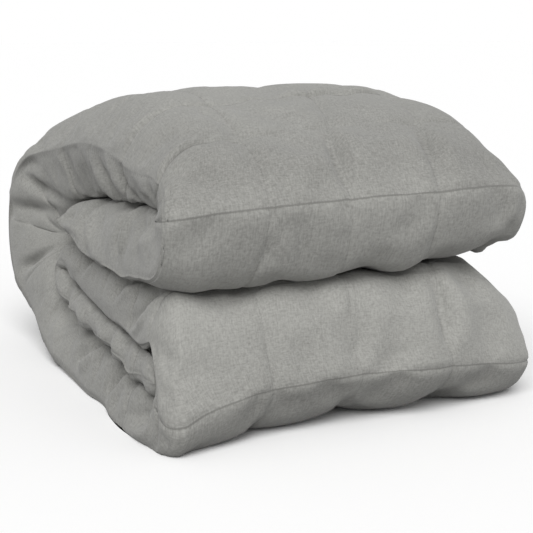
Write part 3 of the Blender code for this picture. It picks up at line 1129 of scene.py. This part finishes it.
def brushedCloth():
    look = clothFinish
    material, tree, shader = newMaterial("brushedGreyCloth")
    setValues(shader, look["shader"])
    places = tree.nodes.new("ShaderNodeTexCoord").outputs["Object"]
    weave = placeGroup(
        tree, brushedWeaveGroup(), Place=addMap(tree, "weave"), Threads=look["threads"]
    )
    seams = placeGroup(tree, sewnSeamsGroup(), Place=addMap(tree, "seams"))
    handled = placeGroup(tree, handledClothGroup(), Place=places)
    fleck = addMath(tree, "SUBTRACT", weave["Fleck"], 0.5)
    slow = addMath(tree, "SUBTRACT", handled["Tone"], 0.5)
    # the painted light and shade of each face sets the starting tone
    tone = addSplit(tree, addMap(tree, "paintedShading"))[0]
    tone = addMath(tree, "MULTIPLY_ADD", fleck, look["fleckTone"], tone)
    tone = addMath(tree, "MULTIPLY_ADD", slow, look["handledTone"], tone)
    shares = addSplit(tree, addMap(tree, "seamShares"))
    # painted shade along each seam line, darkening the colour in its groove
    for seam, share in zip((seams["Across"], seams["Along"]), shares):
        shown = addMath(tree, "MULTIPLY", seam, share)
        tone = addMath(tree, "MULTIPLY_ADD", shown, look["seamShadeTone"], tone)
    addBlend(tree, tone, (look["dark"], look["light"]), shader["Base Color"])
    rough = addMath(tree, "MULTIPLY_ADD", fleck, look["roughFleck"], look["roughness"])
    tree.links.new(rough, shader["Roughness"])
    height = addMath(
        tree, "MULTIPLY_ADD", seams["Thread"], look["threadHeight"], weave["Height"]
    )
    bump = tree.nodes.new("ShaderNodeBump")
    setValues(bump.inputs, look["bump"])
    tree.links.new(height, bump.inputs["Height"])
    tree.links.new(bump.outputs[0], shader["Normal"])
    return material


def addBlanket():
    faces = quiltedFaces()
    mesh, _ = sewnMesh("quiltedBlanket", *(grid for grid, _ in faces))
    mesh.polygons.foreach_set("use_smooth", [True] * len(mesh.polygons))
    for name, values in clothPlaces(faces).items():
        layer = mesh.uv_layers.new(name=name)
        layer.data.foreach_set("uv", values.astype(np.float32).ravel())
    mesh.materials.append(brushedCloth())
    mesh.update()
    blanket = addObject("quiltedBlanket", mesh)
    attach(blanket, "root")
    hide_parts("weighted_blanket")
    print("blanket made,", len(mesh.polygons) * 2, "triangles")


addBlanket()


studio = {
    "floorColour": (1.0, 1.0, 1.0, 1.0),
    "floorBounce": (0.40, 0.40, 0.40, 1.0),  # what the floor throws back on the cloth
    "floorShader": {"Roughness": 0.95, "Specular IOR Level": 0.0},
    "floorSide": 60.0,
    "skyColour": (1.0, 1.0, 1.0, 1.0),
    "skyStrength": 0.42,
    "seenSky": 1.0,
    "lens": 87.8,
    "sensor": 36.0,
    "cameraPlace": (-0.5441, -1.2576, 0.362),
    "cameraTurn": (79.6, 0.0, -24.0),
}

# place that the light comes from, strength, and how many degrees across it is seen from the cloth
lamps = {
    "frontSoftbox": ((-0.84, -1.55, 1.64), 2.55, 38.0),
    "frontFill": ((0.35, -1.00, 0.12), 0.45, 60.0),
}


def addFloor():
    half = studio["floorSide"] / 2
    mesh = bpy.data.meshes.new("paleFloor")
    corners = [(-half, -half, 0), (half, -half, 0), (half, half, 0), (-half, half, 0)]
    mesh.from_pydata(corners, [], [(0, 1, 2, 3)])
    material, tree, shader = newMaterial("paleFloor")
    setValues(shader, studio["floorShader"])
    seen = tree.nodes.new("ShaderNodeLightPath").outputs["Is Camera Ray"]
    colours = (studio["floorBounce"], studio["floorColour"])
    addBlend(tree, seen, colours, shader["Base Color"])
    mesh.materials.append(material)
    floor = addObject("paleFloor", mesh)


def addLamps():
    for name, (place, strength, wide) in lamps.items():
        light = bpy.data.lights.new(name, "SUN")
        light.energy = strength
        light.angle = math.radians(wide)
        lamp = addObject(name, light)
        lamp.location = place
        lamp.rotation_euler = (-Vector(place)).to_track_quat("-Z", "Y").to_euler()
    world = bpy.data.worlds.new("softRoom")
    world.use_nodes = True
    tree = world.node_tree
    background = tree.nodes["Background"]
    background.inputs["Color"].default_value = studio["skyColour"]
    seen = tree.nodes.new("ShaderNodeLightPath").outputs["Is Camera Ray"]
    strength = tree.nodes.new("ShaderNodeMix")
    tree.links.new(seen, strength.inputs[0])
    strength.inputs[2].default_value = studio["skyStrength"]
    strength.inputs[3].default_value = studio["seenSky"]
    tree.links.new(strength.outputs[0], background.inputs["Strength"])
    scene.world = world


def addCamera():
    lens = bpy.data.cameras.new("photoCamera")
    lens.lens = studio["lens"]
    lens.sensor_width = studio["sensor"]
    camera = addObject("photoCamera", lens)
    camera.location = studio["cameraPlace"]
    camera.rotation_euler = [math.radians(angle) for angle in studio["cameraTurn"]]
    scene.camera = camera


addFloor()
addLamps()
addCamera()
scene.view_settings.view_transform = "Standard"
print("studio ready")
